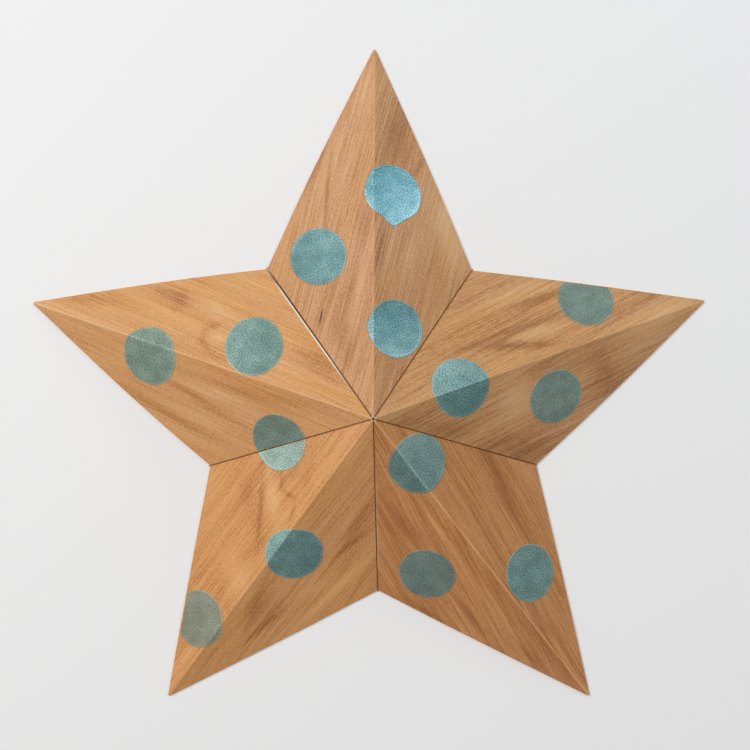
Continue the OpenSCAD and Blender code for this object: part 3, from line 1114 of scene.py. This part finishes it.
def build_dots(number):
    """All the paint on one sheet as one piece."""
    sheet = sheets[number]
    places, faces, flat = [], [], []
    values = {name: [] for name in ("coat", "blue", "deep", "shine", "painted_sheen", "inset_mm")}
    for dot in DOTS:
        shared = dot.pressed == "seam" and (dot.point + dot.side) % len(POINTS) == number
        if dot.point != number and not shared:
            continue
        local, under, axis, tops, walls = drape(dot, number)
        heights, inset = np.array([film_height(dot, place) for place in local]).T
        first, count = len(places), len(local)
        places += list(under + heights[:, None] * axis) + list(under - SUNK * axis)
        faces += [[first + corner for corner in face] for face in tops]
        faces += [[first + count + corner for corner in reversed(face)] for face in tops]
        winding = {(a, b) for face in tops for a, b in zip(face, face[1:] + face[:1])}
        for a, b in walls:
            a, b = (a, b) if (a, b) in winding else (b, a)
            faces.append([first + b, first + a, first + count + a, first + count + b])
        flat_under = flat_places(sheet, under)
        flat += list(flat_under) * 2
        for name in ("coat", "blue", "deep", "shine"):
            values[name] += [getattr(dot, name)] * 2 * count
        # Painted light on each dot: a sheen across it, and a lighter and a darker side at a ridge
        painted_light = local[:, :2] @ dot.painted_sheen / DOT_RADIUS + dot.split * np.sign(flat_under[:, 0])
        values["painted_sheen"] += list(painted_light) * 2
        values["inset_mm"] += list(inset / MM) * 2
    mesh = bpy.data.meshes.new(f"{sheet.name}_dots_paint")
    mesh.from_pydata(places, [], faces)
    give_attribute(mesh, "flat_mm", np.array(flat))
    for name, numbers in values.items():
        give_attribute(mesh, name, numbers)
    mesh.shade_smooth()
    mesh.set_sharp_from_angle(angle=PAINT_SHARP_EDGE)
    piece = new_object(f"{sheet.name}_dots_paint", mesh)
    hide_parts(f"{sheet.name}_dots")
    return piece


paint_pieces = [build_dots(number) for number in range(len(POINTS))]
for piece, name in zip(paint_pieces, POINTS):
    low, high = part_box(f"{name}_dots")
    corners = np.array([vertex.co for vertex in piece.data.vertices])
    off = max(np.abs(corners.min(axis=0) - low).max(), np.abs(corners.max(axis=0) - high).max())
    print(f"{piece.name}: {len(piece.data.polygons)} polygons, box within {off / MM:.2f} mm of the CAD film")

# %% [markdown]
# ## Teal paint with a pearl in it
# The paint is a craft teal with fine mica in it. Mica makes it part metal and part colour: it is bright where
# it mirrors a window and deep where it mirrors the room. Where the sponge was nearly dry, and in the smear at
# the rim, the grain shows through, so each dot carries a coat value that says how much of the wood is hidden.
# Its colour also carries painted light: a sheen across each dot, a lighter and a darker side at a ridge, and
# a highlight on the bead and along the ridge.

# %% Make the paint
GREEN_TEAL = [(0.1, linear(66, 112, 101)), (0.5, linear(108, 156, 142)), (0.95, linear(178, 216, 202))]
SKY_TEAL = [(0.1, linear(72, 124, 134)), (0.5, linear(119, 168, 182)), (0.95, linear(188, 228, 240))]
DEEP_TEAL = linear(36, 76, 78)
# Lumps to a millimetre in the mica and in the slow drift of the paint, and what each adds to its lightness
MICA_LUMPS, DRIFT_LUMPS = (2.4, 2.4), (0.2, 0.2)
MICA_RANGE = (0.34, 0.68)
MICA_SHARE, DRIFT_SHARE, LIGHTNESS_START = 0.68, 0.6, -0.15
# A painted highlight lightens the bead, and the rim is smeared, over these distances from the outline in
# millimetres
BEAD_HIGHLIGHT_FADE, BEAD_HIGHLIGHT = (0.15, 0.8), 0.3
SMEAR_FADE, SMEAR_WOOD = (0.0, 0.8), 0.3
# The thinnest coat lets this share of the wood show, and a full coat none
COAT_RANGE, THIN_COAT_WOOD = (0.2, 1.0), 0.34
MICA_RELIEF = 0.08 * MM


def dot_paint(name, leaf):
    """Mica paint over the grain of one leaf."""
    material, tree, shader = new_material(f"mica_teal_{name}")
    flat = attribute(tree, "flat_mm", "Vector")
    flakes = stretched_noise(tree, flat, MICA_LUMPS, seed=12.0, detail=2.0, rough=0.8)
    drift = stretched_noise(tree, flat, DRIFT_LUMPS, seed=14.0, detail=2.0)
    mica = between(tree, flakes, *MICA_RANGE)
    speck = sum_of(tree, "MULTIPLY_ADD", drift, DRIFT_SHARE, LIGHTNESS_START)
    speck = sum_of(tree, "MULTIPLY_ADD", mica, MICA_SHARE, speck)
    # The painted sheen and the painted light and shade on either side of a ridge
    speck = sum_of(tree, "ADD", speck, attribute(tree, "painted_sheen"))
    # The ridge's rub and painted highlight lighten the paint too
    speck = sum_of(tree, "ADD", speck, ridge_rub_and_highlight(tree, leaf))
    inset = attribute(tree, "inset_mm")
    # Painted highlight on the bead at the rim
    bead = between(tree, inset, *BEAD_HIGHLIGHT_FADE, BEAD_HIGHLIGHT, 0.0)
    speck = sum_of(tree, "MULTIPLY_ADD", bead, drift, speck)
    green, sky = colours(tree, speck, GREEN_TEAL), colours(tree, speck, SKY_TEAL)
    teal = mixed(tree, attribute(tree, "blue"), green, sky)
    teal = mixed(tree, attribute(tree, "deep"), teal, (*DEEP_TEAL, 1.0))
    tone, fibre, pore, rosy = wood_tone(tree, leaf)
    thin = between(tree, attribute(tree, "coat"), *COAT_RANGE, THIN_COAT_WOOD, 0.0)
    thin = sum_of(tree, "ADD", thin, between(tree, inset, *SMEAR_FADE, SMEAR_WOOD, 0.0))
    tree.links.new(mixed(tree, thin, teal, wood_colour(tree, leaf, tone, rosy)), shader.inputs["Base Color"])
    bump = add(tree, "ShaderNodeBump", {"Height": flakes, "Strength": 0.6, "Distance": MICA_RELIEF})
    tree.links.new(bump.outputs[0], shader.inputs["Normal"])
    tree.links.new(attribute(tree, "shine"), shader.inputs["Metallic"])
    shader.inputs["Roughness"].default_value = 0.4
    shader.inputs["Specular IOR Level"].default_value = 0.25
    return material


for piece, name, leaf in zip(paint_pieces, POINTS, LEAVES):
    piece.data.materials.append(dot_paint(name, leaf))
print("Paint on:", [piece.name for piece in paint_pieces])

# %% [markdown]
# ## Floor, light and camera
# The star lies on its back on a pale floor. One broad window stands at the upper left, so that faces turned
# to it are honey-coloured and the others brown, and a smaller one at the right puts the shine on the paint.
# The world adds an even light. The strengths are set so that a colour renders about as it is written. The
# floor is wide, so that it fades into the world's grey far away and shows no edge in a low view.

# %% Lay the floor
FLOOR_SIZE = 30.0
FLOOR_DROP = 0.05 * MM
FLOOR_COLOUR = linear(249, 249, 251)
bpy.ops.mesh.primitive_plane_add(size=FLOOR_SIZE, location=(0, 0, -FLOOR_DROP))
floor = bpy.context.object
floor.name = "floor"
floor_paint, tree, shader = new_material("floor_paint")
shader.inputs["Base Color"].default_value = (*FLOOR_COLOUR, 1.0)
shader.inputs["Roughness"].default_value = 0.7
floor.data.materials.append(floor_paint)
print("Floor:", FLOOR_SIZE, "m wide")


# %% Hang the lights
WORLD_GREY = (0.40, 0.39, 0.38)


def window(name, place, size, watts, colour):
    """A square area light that looks at the middle of the star."""
    lamp = bpy.data.lights.new(name, "AREA")
    lamp.size = size
    lamp.energy = watts
    lamp.color = colour
    made = bpy.data.objects.new(name, lamp)
    bpy.context.scene.collection.objects.link(made)
    made.location = place
    made.rotation_euler = (-Vector(place)).to_track_quat("-Z", "Y").to_euler()
    return made


window("window_left", place=(-0.85, 0.5, 1.0), size=0.9, watts=11.4, colour=(1.0, 0.98, 0.95))
window("window_right", place=(0.8, 0.75, 0.62), size=0.5, watts=3.4, colour=(0.76, 0.92, 1.0))
world = bpy.data.worlds.new("even_light")
bpy.context.scene.world = world
world.use_nodes = True
world.node_tree.nodes["Background"].inputs["Color"].default_value = (*WORLD_GREY, 1.0)
bpy.context.scene.view_settings.view_transform = "Standard"
print("Lights:", [lamp.name for lamp in bpy.data.lights])

# %% Set up the camera
CAMERA_PLACE = Vector((-2.5, 21.5, 339.0)) * MM
CAMERA_AIM = Vector((0.9, 12.4, 0.0)) * MM
CAMERA_UP = Vector((0.0076, 1.0, 0.0))
LENS_MM = 50
SENSOR_MM = 36
camera_data = bpy.data.cameras.new("camera")
camera_data.lens = LENS_MM
camera_data.sensor_width = SENSOR_MM
camera = bpy.data.objects.new("camera", camera_data)
bpy.context.scene.collection.objects.link(camera)
backward = (CAMERA_PLACE - CAMERA_AIM).normalized()
rightward = CAMERA_UP.cross(backward).normalized()
upward = backward.cross(rightward)
axes = Matrix((rightward, upward, backward)).transposed()
camera.matrix_world = Matrix.LocRotScale(CAMERA_PLACE, axes, None)
bpy.context.scene.camera = camera
print(f"Camera {CAMERA_PLACE.z / MM:.0f} mm above the floor")
